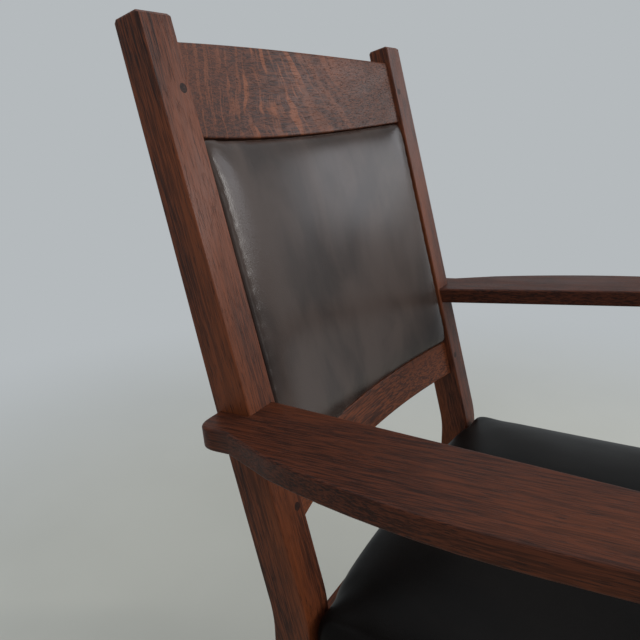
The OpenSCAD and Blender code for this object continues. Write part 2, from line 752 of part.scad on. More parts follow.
// A cylinder's axis laid along X
module along_rod() rotate([0, 90, 0]) children();

// A pin across the chair with a head at each end
module cross_pin(y, z, r, half) translate([0, y, z]) {
    translate([-half - pin_head, 0, 0]) along_rod() cylinder(r = r, h = 2 * (half + pin_head));
    for (x = [-half - pin_head, half]) translate([x, 0, 0])
        along_rod() cylinder(r = r + pin_head, h = pin_head);
}
module tilt_axle() color(bright_steel) cross_pin(axle_y, axle_z, axle_r, axle_half);
module clevis_pin() color(bright_steel) cross_pin(rod_y, axle_z, clevis_r, lug_x + lug_t);

// Tilt housing: a channel with end walls, the column's socket and the lever's lugs
module tilt_housing() color(black_steel) difference() {
    half = housing_w / 2;
    ya = column_y - housing_front;
    yb = column_y + housing_rear;
    inside = housing_w - 2 * sheet_t;
    union() {
        difference() {
            translate([-half, 0, 0]) along_x() linear_extrude(housing_w)
                polygon([[ya, floor_z], [yb, floor_z], [yb, wall_top_z - housing_slope],
                    [axle_y, wall_top_z], [ya, wall_top_z]]);
            translate([-inside / 2, ya + sheet_t, floor_z + sheet_t])
                cube([inside, yb - ya - 2 * sheet_t, housing_h]);
            translate([-inside / 2, yb - sheet_t - cut, floor_z + rear_wall_h])
                cube([inside, sheet_t + 2 * cut, housing_h]);
        }
        translate([0, column_y, boss_z]) cylinder(r = boss_r, h = boss_h);
        for (s = [-1, 1]) translate([-lever_pin_x, column_y + s * (lever_boss_half + lug_gap
            + lever_lug_t / 2) + lever_lug_t / 2, 0]) along_y() linear_extrude(lever_lug_t) {
                translate([0, lever_z]) circle(r = lever_lug_r);
                translate([-lever_lug_r, floor_z]) square([2 * lever_lug_r, lever_z - floor_z]);
            }
    }
    translate([0, column_y, boss_z - cut]) cylinder(r = cylinder_r + run_gap, h = boss_h + 2 * cut);
    translate([0, rod_y, floor_z - cut]) cylinder(r = rod_hole_r, h = sheet_t + 2 * cut);
    translate([-half - cut, axle_y, axle_z])
        along_rod() cylinder(r = axle_r + run_gap, h = housing_w + 2 * cut);
    translate([-lever_pin_x, column_y + lever_lug_r + lever_boss_half, lever_z])
        along_y() cylinder(r = lever_pin_r + run_gap, h = 2 * (lever_lug_r + lever_boss_half));
    translate([-half - cut, column_y - lever_window / 2, lever_z - lever_window])
        cube([sheet_t + 2 * cut, lever_window, 2 * lever_window - lever_r]);
}
module stop_bumpers() color(rubber) for (x = [-1, 1]) {
    translate([x * (housing_w / 2 - bumper_w) - bumper_w / 2, column_y - housing_front, wall_top_z])
        cube([bumper_w, bumper_l, housing_drop - move_gap]);
    translate([x * (housing_w / 2 - bumper_w) - bumper_w / 2, column_y + housing_rear - bumper_l,
        floor_z + rear_wall_h]) cube([bumper_w, bumper_l, rear_bumper_h]);
}

// Height lever: a bent rod on its pin, with a paddle at its end
module lever_pin() color(bright_steel) {
    half = lever_boss_half + lug_gap + lever_lug_t;
    translate([-lever_pin_x, column_y + half, lever_z]) along_y() cylinder(r = lever_pin_r, h = 2 * half);
}
function lever_bend(x, z, from, to) = [for (k = [0:lever_steps])
    let (a = from + (to - from) * k / lever_steps, s = sign(to - from))
    [x + lever_bend_r * cos(a), z + lever_bend_r * sin(a), s * cos(a), s * sin(a)]];
function lever_path() = let (
    level = lever_bend_r * tan(lever_slope / 2),
    xa = -lever_pin_x - lever_level + level,
    xb = -lever_pin_x - lever_level - lever_run - level) concat(
    [[lever_tip, lever_z, 0, 1]],
    lever_bend(xa, lever_z - lever_bend_r, 90, 90 + lever_slope),
    lever_bend(xb, handle_z + lever_bend_r, 270 + lever_slope, 270),
    [[handle_edge - lever_reach, handle_z, 0, 1]]);
module height_lever() color(bright_steel) translate([0, column_y, 0]) difference() {
    union() {
        translate([-lever_pin_x, lever_boss_half, lever_z])
            along_y() cylinder(r = lever_boss_r, h = 2 * lever_boss_half);
        skin([for (p = lever_path()) [for (k = [0:lever_sides - 1]) let (a = -360 * k / lever_sides)
            [p[0], 0, p[1]] + lever_r * [p[2] * sin(a), cos(a), p[3] * sin(a)]]]);
    }
    translate([-lever_pin_x, lever_boss_half + cut, lever_z])
        along_y() cylinder(r = lever_pin_r + run_gap, h = 2 * (lever_boss_half + cut));
}
module lever_handle() color(rubber) translate([0, column_y, handle_z]) difference() {
    translate([0, 0, -handle_t / 2]) eased(rounded(box_outline(-lever_reach, handle_l - lever_reach,
        -handle_w / 2, handle_w / 2), handle_r), handle_t, handle_edge);
    translate([handle_edge - lever_reach - run_gap, 0, 0])
        along_rod() cylinder(r = lever_r + run_gap, h = handle_l + cut);
}

// Tension rod, washer, spring and knob in front of the axle
module tension_rod() color(bright_steel) difference() {
    union() {
        translate([-rod_eye_half, rod_y, axle_z]) along_rod() cylinder(r = lug_r, h = 2 * rod_eye_half);
        translate([0, rod_y, rod_end_z]) cylinder(r = rod_r, h = axle_z - rod_end_z - clevis_r);
        translate([0, rod_y, rod_end_z]) cylinder(r = rod_head_r, h = rod_head_t);
    }
    translate([-rod_eye_half - cut, rod_y, axle_z])
        along_rod() cylinder(r = clevis_r + run_gap, h = 2 * (rod_eye_half + cut));
}
module spring_washer() color(bright_steel) translate([0, rod_y, washer_z]) difference() {
    cylinder(r = washer_r, h = washer_t);
    translate([0, 0, -cut]) cylinder(r = rod_r + run_gap, h = washer_t + 2 * cut);
}
spring_travel = spring_h - 2 * (spring_wire_r + move_gap);
function spring_point(a) = [spring_r * cos(a), spring_r * sin(a),
    spring_wire_r + move_gap + spring_travel * a / (360 * spring_turns)];
function spring_ring(a) = let (
    t = unit([-sin(a), cos(a), spring_travel / (2 * PI * spring_r * spring_turns)]),
    u = [cos(a), sin(a), 0],
    v = cross(t, u))
    [for (k = [0:spring_sides - 1]) let (b = 360 * k / spring_sides)
        spring_point(a) + spring_wire_r * (cos(b) * u + sin(b) * v)];
module tension_spring() color(bright_steel) translate([0, rod_y, spring_z])
    skin([for (k = [0:spring_turns * spring_rings]) spring_ring(360 * k / spring_rings)]);
spring_self_gap = min([for (k = [spring_rings / 2:spring_rings * 3 / 2])
    norm(spring_point(360 * k / spring_rings) - spring_point(0))]) - 2 * spring_wire_r;
echo(spring_self_gap = spring_self_gap);
module tension_knob() color(rubber) translate([0, rod_y, knob_z]) difference() {
    eased([for (k = [0:knob_steps - 1]) let (a = 360 * k / knob_steps)
        (knob_r - knob_lobe_h * (1 - cos(knob_lobes * a)) / 2) * [cos(a), sin(a)]], knob_h, knob_edge);
    translate([0, 0, -cut]) cylinder(r = rod_r + run_gap, h = knob_h + 2 * cut);
}

// Gas column: tube with its flange, guide bush, cylinder, piston rod and valve pin
module column_tube() color(black_steel) translate([0, column_y, 0]) difference() {
    union() {
        translate([0, 0, tube_z]) cylinder(r = tube_r, h = tube_top_z - tube_z);
        translate([0, 0, hub_top_z]) cylinder(r = flange_r, h = flange_t);
    }
    translate([0, 0, tube_z + tube_floor_t]) cylinder(r = tube_r - tube_wall, h = tube_top_z);
    translate([0, 0, tube_z - cut]) cylinder(r = piston_rod_r + run_gap, h = tube_floor_t + 2 * cut);
    hub_screw_places() translate([0, 0, -cut]) cylinder(r = screw_r + run_gap, h = flange_t + 2 * cut);
}
module hub_screw_places() for (a = [0:90:270])
    rotate([0, 0, a]) translate([screw_ring_r, 0, hub_top_z]) children();
module guide_bush() color(rubber) translate([0, column_y, 0]) difference() {
    union() {
        translate([0, 0, tube_top_z - bush_h]) cylinder(r = tube_r - tube_wall - run_gap, h = bush_h);
        translate([0, 0, tube_top_z]) cylinder(r = tube_r + bush_rim, h = bush_rim_t);
    }
    translate([0, 0, tube_top_z - bush_h - cut])
        cylinder(r = cylinder_r + run_gap, h = bush_h + bush_rim_t + 2 * cut);
}
module gas_cylinder() color(bright_steel) translate([0, column_y, 0]) difference() {
    translate([0, 0, cylinder_z]) cylinder(r = cylinder_r, h = boss_top_z - cylinder_z);
    translate([0, 0, cylinder_z + gland_h])
        cylinder(r = cylinder_r - cylinder_wall, h = bore_top_z - cylinder_z - gland_h);
    translate([0, 0, cylinder_z - cut]) cylinder(r = piston_rod_r + run_gap, h = gland_h + 2 * cut);
    translate([0, 0, bore_top_z - cut]) cylinder(r = valve_r + run_gap, h = cylinder_cap + 2 * cut);
}
module piston_rod() color(bright_steel) translate([0, column_y, 0]) {
    top = bore_top_z - piston_under;
    low = tube_z - clip_t - move_gap;
    translate([0, 0, low]) cylinder(r = piston_rod_r, h = top - low);
    translate([0, 0, top - piston_h]) cylinder(r = cylinder_r - cylinder_wall - run_gap, h = piston_h);
    translate([0, 0, tube_z + tube_floor_t + move_gap]) cylinder(r = thrust_r, h = thrust_t);
    translate([0, 0, low]) cylinder(r = clip_r, h = clip_t);
}
module valve_pin() color(bright_steel) translate([0, column_y, bore_top_z - valve_in])
    cylinder(r = valve_r, h = lever_z - lever_r - move_gap - bore_top_z + valve_in);

// Hub block and the four legs
function hub_outline() = [for (k = [0:7]) let (a = 45 * k + 45 / 2)
    hub_w / 2 / cos(45 / 2) * [cos(a), sin(a)]];
module leg_tenon(g = 0) translate([hub_w / 2 - leg_tenon_l - g, -leg_tenon_t / 2 - g,
    leg_z + leg_tenon_inset - g])
    cube([leg_tenon_l + leg_tenon_t + g, leg_tenon_t + 2 * g, hub_h - leg_shoulder
        - 2 * leg_tenon_inset + 2 * g]);
module leg_place(k) translate([0, column_y, 0]) rotate([0, 0, 90 * k - 45]) children();
module hub_block() color(oak) difference() {
    translate([0, column_y, leg_z]) eased(hub_outline(), hub_h, hub_edge);
    translate([0, column_y, leg_z - cut]) cylinder(r = tube_r + run_gap, h = hub_h + 2 * cut);
    for (k = [1:4]) leg_place(k) leg_tenon(joint_gap);
    translate([0, column_y, 0]) hub_screw_places() translate([0, 0, -screw_l - joint_gap])
        cylinder(r = screw_r + run_gap, h = screw_l + cut);
}
module hub_screws() color(bright_steel) translate([0, column_y, 0]) hub_screw_places() {
    translate([0, 0, -screw_l]) cylinder(r = screw_r, h = screw_l + flange_t);
    translate([0, 0, flange_t]) cylinder(r = screw_head_r, h = screw_head_h);
}

// Side view of a leg: a falling curve above, an arch below
function leg_outline() = let (
    hub_x = hub_w / 2,
    end_x = caster_set + leg_toe,
    arch_b = caster_set - leg_toe,
    toe_z = leg_z + leg_toe_h,
    fall = hub_h - leg_shoulder - leg_toe_h,
    round_x = end_x - leg_toe_r) concat(
    [for (k = [0:leg_steps]) let (t = k / leg_steps)
        [hub_x + (arch_b - hub_x) * t, leg_z + leg_root_lift * (1 - t) + leg_arch * 4 * t * (1 - t)]],
    [[end_x, leg_z]],
    fillet([end_x, leg_z], [end_x, toe_z], [round_x, toe_z], leg_toe_r),
    [for (k = [leg_steps - 1:-1:0]) let (t = k / leg_steps)
        [hub_x + (round_x - hub_x) * t, toe_z + fall * pow(1 - t, 2)]]);
module base_leg(k) color(oak) leg_place(k) difference() {
    union() {
        translate([0, leg_w / 2, 0]) along_y() eased(leg_outline(), leg_w);
        leg_tenon();
    }
    translate([caster_set, 0, leg_z - cut])
        cylinder(r = sleeve_r + run_gap, h = sleeve_l + sleeve_end + cut);
}
module base_leg_1() base_leg(1);
module base_leg_2() base_leg(2);
module base_leg_3() base_leg(3);
module base_leg_4() base_leg(4);

// Casters: every fork trails to the rear, whichever leg it is on
module caster_sleeves() color(brass) for (k = [1:4]) leg_place(k) translate([caster_set, 0, leg_z])
    difference() {
        union() {
            cylinder(r = sleeve_r, h = sleeve_l);
            translate([0, 0, -sleeve_flange_t]) cylinder(r = sleeve_flange_r, h = sleeve_flange_t);
        }
        translate([0, 0, -cut]) cylinder(r = stem_r + run_gap, h = sleeve_l + 2 * cut);
    }
module caster_place(k) translate([0, column_y, 0]) let (a = 90 * k - 45)
    translate([caster_set * cos(a), caster_set * sin(a), 0]) children();
module caster_fork(k) color(brass) caster_place(k) difference() {
    union() {
        translate([0, 0, crown_z]) cylinder(r = crown_r, h = crown_t);
        translate([0, 0, crown_z]) cylinder(r = stem_r, h = crown_t + stem_l);
        for (x = [-fork_half - fork_t, fork_half]) translate([x, 0, 0]) along_x() linear_extrude(fork_t)
            hull() {
                translate([-fork_neck, crown_z]) square([2 * fork_neck, crown_t]);
                translate([caster_trail, wheel_r]) circle(r = fork_eye_r, $fn = 32);
            }
    }
    translate([-fork_half - fork_t - cut, caster_trail, wheel_r])
        along_rod() cylinder(r = wheel_axle_r + run_gap, h = 2 * (fork_half + fork_t + cut));
}
module caster_fork_1() caster_fork(1);
module caster_fork_2() caster_fork(2);
module caster_fork_3() caster_fork(3);
module caster_fork_4() caster_fork(4);
module caster_axle(k) color(bright_steel) caster_place(k)
    cross_pin(caster_trail, wheel_r, wheel_axle_r, fork_half + fork_t);
module caster_axle_1() caster_axle(1);
module caster_axle_2() caster_axle(2);
module caster_axle_3() caster_axle(3);
module caster_axle_4() caster_axle(4);

// Half section of a wheel: bore, hub, dished web, rim and rounded tread
function wheel_side() = let (h = wheel_w / 2, rim_r = wheel_r - wheel_rim) concat(
    [[wheel_axle_r + run_gap, h + wheel_hub_proud], [wheel_hub_r, h + wheel_hub_proud],
        [wheel_hub_r + wheel_slope, h - wheel_dish], [rim_r - wheel_slope, h - wheel_dish], [rim_r, h]],
    fillet([rim_r, h], [wheel_r, h], [wheel_r, 0], tread_r));
module caster_wheel(k) color(rubber) caster_place(k) translate([0, caster_trail, wheel_r])
    along_rod() rotate_extrude() polygon(concat(wheel_side(),
        [for (i = [len(wheel_side()) - 1:-1:0]) [wheel_side()[i].x, -wheel_side()[i].y]]));
module caster_wheel_1() caster_wheel(1);
module caster_wheel_2() caster_wheel(2);
module caster_wheel_3() caster_wheel(3);
module caster_wheel_4() caster_wheel(4);

rear_post_left();
rear_post_right();
top_rail();
lower_back_rail();
back_board();
back_pad();
back_cover();
back_cleats();
joint_pegs();
arm_left();
arm_right();
front_post_left();
front_post_right();
arm_corbels();
side_rail_left();
side_rail_right();
front_seat_rail();
rear_seat_rail();
corner_blocks();
seat_board();
seat_cushion();
plate_battens();
tilt_plate();
plate_bolts();
tilt_axle();
clevis_pin();
tilt_housing();
stop_bumpers();
lever_pin();
gas_cylinder();
valve_pin();
height_lever();
lever_handle();
tension_rod();
spring_washer();
tension_spring();
tension_knob();
piston_rod();
column_tube();
guide_bush();
hub_block();
base_leg_1();
base_leg_2();
base_leg_3();
base_leg_4();
hub_screws();
caster_sleeves();
caster_fork_1();
caster_fork_2();
caster_fork_3();
caster_fork_4();
caster_axle_1();
caster_axle_2();
caster_axle_3();
caster_axle_4();
caster_wheel_1();
caster_wheel_2();
caster_wheel_3();
caster_wheel_4();
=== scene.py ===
"""Looks of the oak and leather desk chair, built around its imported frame."""

import math

import bmesh
import bpy
import numpy as np
from mathutils import Matrix, Vector, noise


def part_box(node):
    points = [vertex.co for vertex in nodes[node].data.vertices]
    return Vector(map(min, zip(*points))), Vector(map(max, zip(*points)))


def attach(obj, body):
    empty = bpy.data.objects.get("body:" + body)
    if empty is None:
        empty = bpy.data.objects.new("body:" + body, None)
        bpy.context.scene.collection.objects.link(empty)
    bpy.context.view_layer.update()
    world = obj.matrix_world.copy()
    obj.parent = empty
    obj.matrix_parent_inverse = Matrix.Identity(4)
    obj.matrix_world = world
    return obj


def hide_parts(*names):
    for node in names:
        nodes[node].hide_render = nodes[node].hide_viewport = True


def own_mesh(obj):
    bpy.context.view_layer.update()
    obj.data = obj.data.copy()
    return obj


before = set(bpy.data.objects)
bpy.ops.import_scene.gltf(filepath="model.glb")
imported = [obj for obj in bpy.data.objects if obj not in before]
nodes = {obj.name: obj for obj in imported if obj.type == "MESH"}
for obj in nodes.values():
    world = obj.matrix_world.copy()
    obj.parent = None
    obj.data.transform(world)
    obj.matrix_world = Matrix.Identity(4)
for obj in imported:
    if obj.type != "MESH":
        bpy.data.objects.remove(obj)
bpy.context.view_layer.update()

# The leaning back, as in the frame: sizes in metres
RAKE = math.radians(14.7)
ARM_RISE = math.radians(4.4)
ARM_Z = 0.650
POST_RISE = 0.390
POST_TOP_D = 0.032
POST_HALF_GAP = 0.240
BACK_BOW = 0.035
BACK_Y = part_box("rear_post_right")[1].y - POST_RISE * math.sin(RAKE) - POST_TOP_D * math.cos(RAKE)
BACK = Matrix.Translation((0, BACK_Y, ARM_Z)) @ Matrix.Rotation(-RAKE, 4, "X")
LEAN = Vector((0, math.sin(RAKE), math.cos(RAKE)))
FRONT = Vector((0, -math.cos(RAKE), math.sin(RAKE)))
ARM_ALONG = Vector((0, -math.cos(ARM_RISE), math.sin(ARM_RISE)))
SIDE, FORE, UP = Vector((1, 0, 0)), Vector((0, -1, 0)), Vector((0, 0, 1))

# Camera: place in metres, aim in degrees, focal length in pixels of a 640 px frame
CAMERA_AT = Vector((-0.7472, BACK_Y - 0.3622, 0.9427))
CAMERA_YAW = 59.0
CAMERA_PITCH = 18.3
CAMERA_ROLL = -1.3
FOCAL_PX = 645.0
FRAME_PX = 640.0
SENSOR_MM = 36.0
CLIP_START = 0.01

# Colours as they are seen, in sRGB from 0 to 255
WALL = (181, 186, 189)
FLOOR = (196, 195, 184)
FLOOR_CLOUD = 7
SKY = (214, 222, 230)
OAK_DARK, OAK_LIGHT = (43, 23, 16), (100, 52, 31)
OAK_WARM = (128, 66, 33)
ARM_DARK, ARM_LIGHT = (41, 20, 13), (80, 40, 24)
TOP_RAIL_DARK, TOP_RAIL_LIGHT = (54, 30, 22), (96, 54, 36)
LOW_RAIL_DARK, LOW_RAIL_LIGHT = (58, 31, 21), (122, 65, 37)
HIDDEN_DARK, HIDDEN_LIGHT = (38, 24, 17), (74, 50, 35)
PEG_DARK, PEG_LIGHT, PEG_DOT = (34, 20, 16), (60, 36, 27), (18, 12, 12)
FLECK = (150, 87, 54)
PORE = (22, 12, 10)
BACK_DARK, BACK_LIGHT = (52, 43, 39), (74, 62, 56)
SEAT_DARK, SEAT_LIGHT = (10, 8, 7), (16, 13, 11)
STEEL, STEEL_WORN = (170, 170, 174), (140, 140, 146)
BRASS, BRASS_WORN = (150, 112, 60), (104, 76, 42)

# Noise of the oak: features per metre across, through and along a piece, and its share of the tone
BANDS, BANDS_SHARE = (170, 150, 4.0), 0.14
STREAKS, STREAKS_SHARE = (540, 500, 18), 0.42
GRAIN, GRAIN_SHARE = (1150, 1100, 38), 0.44
PORES = (1100, 900, 60)
PATCHES = (10, 10, 3.2)

# Noise of the leather: features per metre, and its share of the stain
PEBBLES = 760.0
MOTTLE, MOTTLE_SHARE = (9, 9, 6), 0.92
PULLS, PULLS_SHARE = (75, 40, 5), 0.08
SWELLS = (9, 9, 9)

# Depth of the relief, and the pitch of the rod's thread, in metres
OAK_RELIEF = 0.00025
PEG_RELIEF = 0.0002
PEBBLE_RELIEF = 0.0005
SWELL_RELIEF = 0.0015
METAL_RELIEF = 0.00004
COAT_RELIEF = 0.00008
THREAD_PITCH = 0.0015

# Stage: the floor fades into the colour of the wall between two distances, in metres
FLOOR_R = 14
FADE_FROM, FADE_TO = 0.7, 2.3
SKY_STRENGTH = 0.42

# Lamps: name, place, aim and size in metres, watts, colour
LAMPS = (
    ("window", (1.9, -2.4, 1.75), (0, 0.2, 0.85), (0.22, 0.9), 24, (255, 252, 248)),
    ("side_window", (2.5, -1.75, 1.8), (0, 0.2, 0.85), (1.7, 1.2), 22, (246, 248, 255)),
    ("front_fill", (-0.4, -3.2, 1.4), (0, 0, 0.7), (1.4, 1.4), 12, (255, 252, 248)),
    ("ceiling", (-0.3, 0.3, 3.2), (0, 0, 0.6), (3.0, 3.0), 45, (246, 249, 255)),
    ("left_fill", (-3.0, -0.6, 1.2), (0, 0, 0.7), (1.6, 1.6), 5, (240, 245, 255)))

# Cushions: the cloth that blows them up, and their form. Sizes in metres
CLOTH = {"quality": 5, "mass": 0.25, "tension_stiffness": 20, "compression_stiffness": 15, "shear_stiffness": 8,
    "bending_stiffness": 1.5, "use_pressure": True, "uniform_pressure_force": 4}
CLOTH_FRAMES = 20
CUSHION_EDGE = 0.0006
SIDE_SMOOTHING = 8
LAST_SMOOTHING = 2
PAD_ROLL_R = 0.033
PAD_ROLL_SHARE = 0.66
PAD_FULLER = 0.8
PAD_PROUD = 0.003

SMOOTH_BELOW = math.radians(38)


def link(name, data):
    """An object of the data, in the scene."""
    made = bpy.data.objects.new(name, data)
    bpy.context.scene.collection.objects.link(made)
    return made


def make_camera():
    """The camera of the photograph, as it was solved."""
    yaw, pitch, roll = (math.radians(a) for a in (CAMERA_YAW, CAMERA_PITCH, CAMERA_ROLL))
    ahead = Vector((math.sin(yaw) * math.cos(pitch), math.cos(yaw) * math.cos(pitch), -math.sin(pitch)))
    right = Vector((math.cos(yaw), -math.sin(yaw), 0))
    up = right.cross(ahead)
    turned = right * math.cos(roll) + up * math.sin(roll)
    upright = up * math.cos(roll) - right * math.sin(roll)
    data = bpy.data.cameras.new("camera")
    data.sensor_width = SENSOR_MM
    data.lens = SENSOR_MM * FOCAL_PX / FRAME_PX
    data.clip_start = CLIP_START
    camera = link("camera", data)
    camera.matrix_world = Matrix.Translation(CAMERA_AT) @ Matrix((turned, upright, -ahead)).transposed().to_4x4()
    bpy.context.scene.camera = camera


# ---------------------------------------------------------------- shaders

def rgb(r, g, b):
    """A colour in sRGB, 0 to 255, as the linear colour that shaders take."""
    def linear(c):
        c /= 255
        return c / 12.92 if c <= 0.04045 else ((c + 0.055) / 1.055) ** 2.4
    return (linear(r), linear(g), linear(b), 1.0)


class Shader:
    """A material with its principled shader, and short calls that add nodes to it."""

    def __init__(self, name, **sockets):
        self.material = bpy.data.materials.new(name)
        self.material.use_nodes = True
        self.tree = self.material.node_tree
        self.bsdf = self.tree.nodes["Principled BSDF"]
        for socket, value in sockets.items():
            self.bsdf.inputs[socket.replace("_", " ")].default_value = value

    def feed(self, socket, value):
        """Links or sets an input."""
        if isinstance(value, bpy.types.NodeSocket):
            self.tree.links.new(value, socket)
        else:
            socket.default_value = value

    def node(self, kind, inputs=(), **settings):
        """A new node, with its inputs by name or number and its settings."""
        made = self.tree.nodes.new("ShaderNode" + kind)
        for key, value in settings.items():
            setattr(made, key, value)
        for key, value in dict(inputs).items():
            self.feed(made.inputs[key], value)
        return made

    def place(self, origin=(0, 0, 0), along=UP, face=FORE):
        """Surface point in metres from origin: x across the piece, y out of its face, z along it."""
        along = along.normalized()
        across = face.cross(along).normalized()
        axes = Matrix((across, along.cross(across), along))
        return self.node("Mapping", {"Vector": self.node("TexCoord").outputs["Object"],
            "Location": -(axes @ Vector(origin)), "Rotation": axes.to_euler()}).outputs["Vector"]

    def vector(self, operation, a, b):
        return self.node("VectorMath", {0: a, 1: b}, operation=operation).outputs[0]

    def math(self, operation, a, b=0.0):
        return self.node("Math", {0: a, 1: b}, operation=operation).outputs[0]

    def parts(self, vector):
        return self.node("SeparateXYZ", {0: vector}).outputs

    def joined(self, x, y, z):
        return self.node("CombineXYZ", {0: x, 1: y, 2: z}).outputs[0]

    def noise(self, point, scale=(1, 1, 1), detail=2.0, roughness=0.5, distortion=0.0, output="Fac"):
        """Noise with about scale features per metre along each axis of point."""
        return self.node("TexNoise", {"Vector": self.vector("MULTIPLY", point, scale), "Scale": 1.0,
            "Detail": detail, "Roughness": roughness, "Distortion": distortion}).outputs[output]

    def ramp(self, value, low, high, to_low=0.0, to_high=1.0):
        """A smooth step from to_low to to_high while value goes from low to high."""
        return self.node("MapRange", {"Value": value, "From Min": low, "From Max": high,
            "To Min": to_low, "To Max": to_high}, interpolation_type="SMOOTHSTEP").outputs["Result"]

    def window(self, value, low, high, soft):
        """One between low and high, falling to zero over a soft margin outside them."""
        return self.math("MULTIPLY", self.ramp(value, low - soft, low), self.ramp(value, high + soft, high))

    def mix(self, factor, a, b):
        return self.node("Mix", {0: factor, 6: a, 7: b}, data_type="RGBA").outputs[2]

    def bump(self, height, distance, strength, under=None):
        """The normal over a relief of so many metres, on top of the normal under it."""
        inputs = {"Height": height, "Distance": distance, "Strength": strength}
        if under is not None:
            inputs["Normal"] = under
        return self.node("Bump", inputs).outputs["Normal"]

    def finish(self, colour, roughness, normal=None):
        """The material, once its colour, roughness and normal are in place."""
        self.feed(self.bsdf.inputs["Base Color"], colour)
        self.feed(self.bsdf.inputs["Roughness"], roughness)
        if normal is not None:
            self.feed(self.bsdf.inputs["Normal"], normal)
        return self.material


def middle(node):
    """The middle of a node's box."""
    low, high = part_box(node)
    return (low + high) / 2


def scattered_rays(s, point):
    """Ray fleck as it shows here and there on quartersawn oak."""
    wander = s.vector("ADD", point, s.vector("MULTIPLY", s.noise(point, (26, 26, 20), output="Color"),
        (0.03, 0, 0.05)))
    ribbons = s.ramp(s.noise(wander, (14, 14, 70), 1.5), 0.55, 0.61)
    return s.math("MULTIPLY", ribbons, s.ramp(s.noise(point, (28, 28, 28), 1), 0.42, 0.6))


def sweeping_rays(s, point):
    """Ray fleck across a wide rail: close thin lines, a few broad ribbons, long sweeps past its middle."""
    across, _, along = s.parts(point)
    lean = s.math("MULTIPLY", across, s.ramp(along, -0.16, 0.14, -0.3, 0.9))
    drift = s.math("MULTIPLY", s.math("SUBTRACT", s.noise(point, (24, 24, 11), 2), 0.5), 0.036)
    line = s.math("ADD", s.math("ADD", along, lean), drift)
    thin = s.ramp(s.noise(s.joined(s.math("MULTIPLY", line, 170), s.math("MULTIPLY", across, 7), 3.7), detail=1),
        0.54, 0.62)
    broad = s.ramp(s.noise(s.joined(s.math("MULTIPLY", line, 60), s.math("MULTIPLY", across, 17), 8.1),
        detail=0.5), 0.57, 0.62)
    broken = s.ramp(s.noise(point, (34, 34, 60), 2), 0.38, 0.52)
    thin = s.math("MULTIPLY", s.math("MULTIPLY", thin, broken), s.window(along, -0.20, 0.02, 0.10))
    broad = s.math("MULTIPLY", broad, s.window(along, -0.12, 0.02, 0.05))
    sweeps = s.ramp(s.noise(s.joined(s.math("MULTIPLY", line, 62), s.math("MULTIPLY", across, 2), 5.3),
        detail=0), 0.58, 0.64)
    sweeps = s.math("MULTIPLY", sweeps, s.window(along, 0.02, 0.10, 0.06))
    lines = s.math("MAXIMUM", s.math("MULTIPLY", thin, 0.45), s.math("MULTIPLY", sweeps, 0.35))
    return s.math("MAXIMUM", lines, s.math("MULTIPLY", broad, 0.85))


def oak(node, along, face, seed, rays=None, strength=0.5, dark=OAK_DARK, light=OAK_LIGHT, warm=0.35,
        roughness=0.42, gloss=0.18):
    """Fumed and waxed oak: growth bands, fine grain and open pores along the piece, and ray fleck."""
    s = Shader("oak_" + node, Specular_IOR_Level=gloss)
    point = s.place(middle(node), along, face)
    seeded = s.vector("ADD", point, (seed * 1.37, seed * 0.71, seed * 2.13))
    bands = s.noise(seeded, BANDS, 2, 0.5, 0.3)
    streaks = s.noise(seeded, STREAKS, 2, 0.6)
    grain = s.noise(seeded, GRAIN, 2, 0.6)
    pores = s.ramp(s.noise(seeded, PORES, 1, 0.6), 0.58, 0.70)
    patches = s.noise(seeded, PATCHES, 2, 0.5, 0.4)
    tone = s.math("ADD", s.math("MULTIPLY", bands, BANDS_SHARE),
        s.math("ADD", s.math("MULTIPLY", streaks, STREAKS_SHARE), s.math("MULTIPLY", grain, GRAIN_SHARE)))
    colour = s.mix(s.ramp(tone, 0.43, 0.57), rgb(*dark), rgb(*light))
    colour = s.mix(s.math("MULTIPLY", s.ramp(patches, 0.42, 0.70), warm), colour, rgb(*OAK_WARM))
    if rays:
        fleck = s.math("MULTIPLY", rays(s, point if rays is sweeping_rays else seeded), strength)
        colour = s.mix(fleck, colour, rgb(*FLECK))
    colour = s.mix(s.math("MULTIPLY", pores, 0.6), colour, rgb(*PORE))
    satin = s.ramp(s.noise(seeded, (30, 30, 8), 3), 0.3, 0.7, roughness - 0.04, roughness + 0.07)
    relief = s.math("SUBTRACT", s.math("MULTIPLY", grain, 0.4), pores)
    return s.finish(colour, satin, s.bump(relief, OAK_RELIEF, 0.5))


def peg_wood():
    """End grain: darker, with rings and pores as dots."""
    s = Shader("peg_wood", Specular_IOR_Level=0.12)
    point = s.place(along=FRONT, face=UP)
    rings = s.noise(point, (420, 420, 30), 2, 0.5, 1.0)
    dots = s.ramp(s.noise(point, (1600, 1600, 80), 1), 0.55, 0.7)
    colour = s.mix(s.ramp(rings, 0.35, 0.65), rgb(*PEG_DARK), rgb(*PEG_LIGHT))
    return s.finish(s.mix(dots, colour, rgb(*PEG_DOT)), 0.5, s.bump(rings, PEG_RELIEF, 0.5))


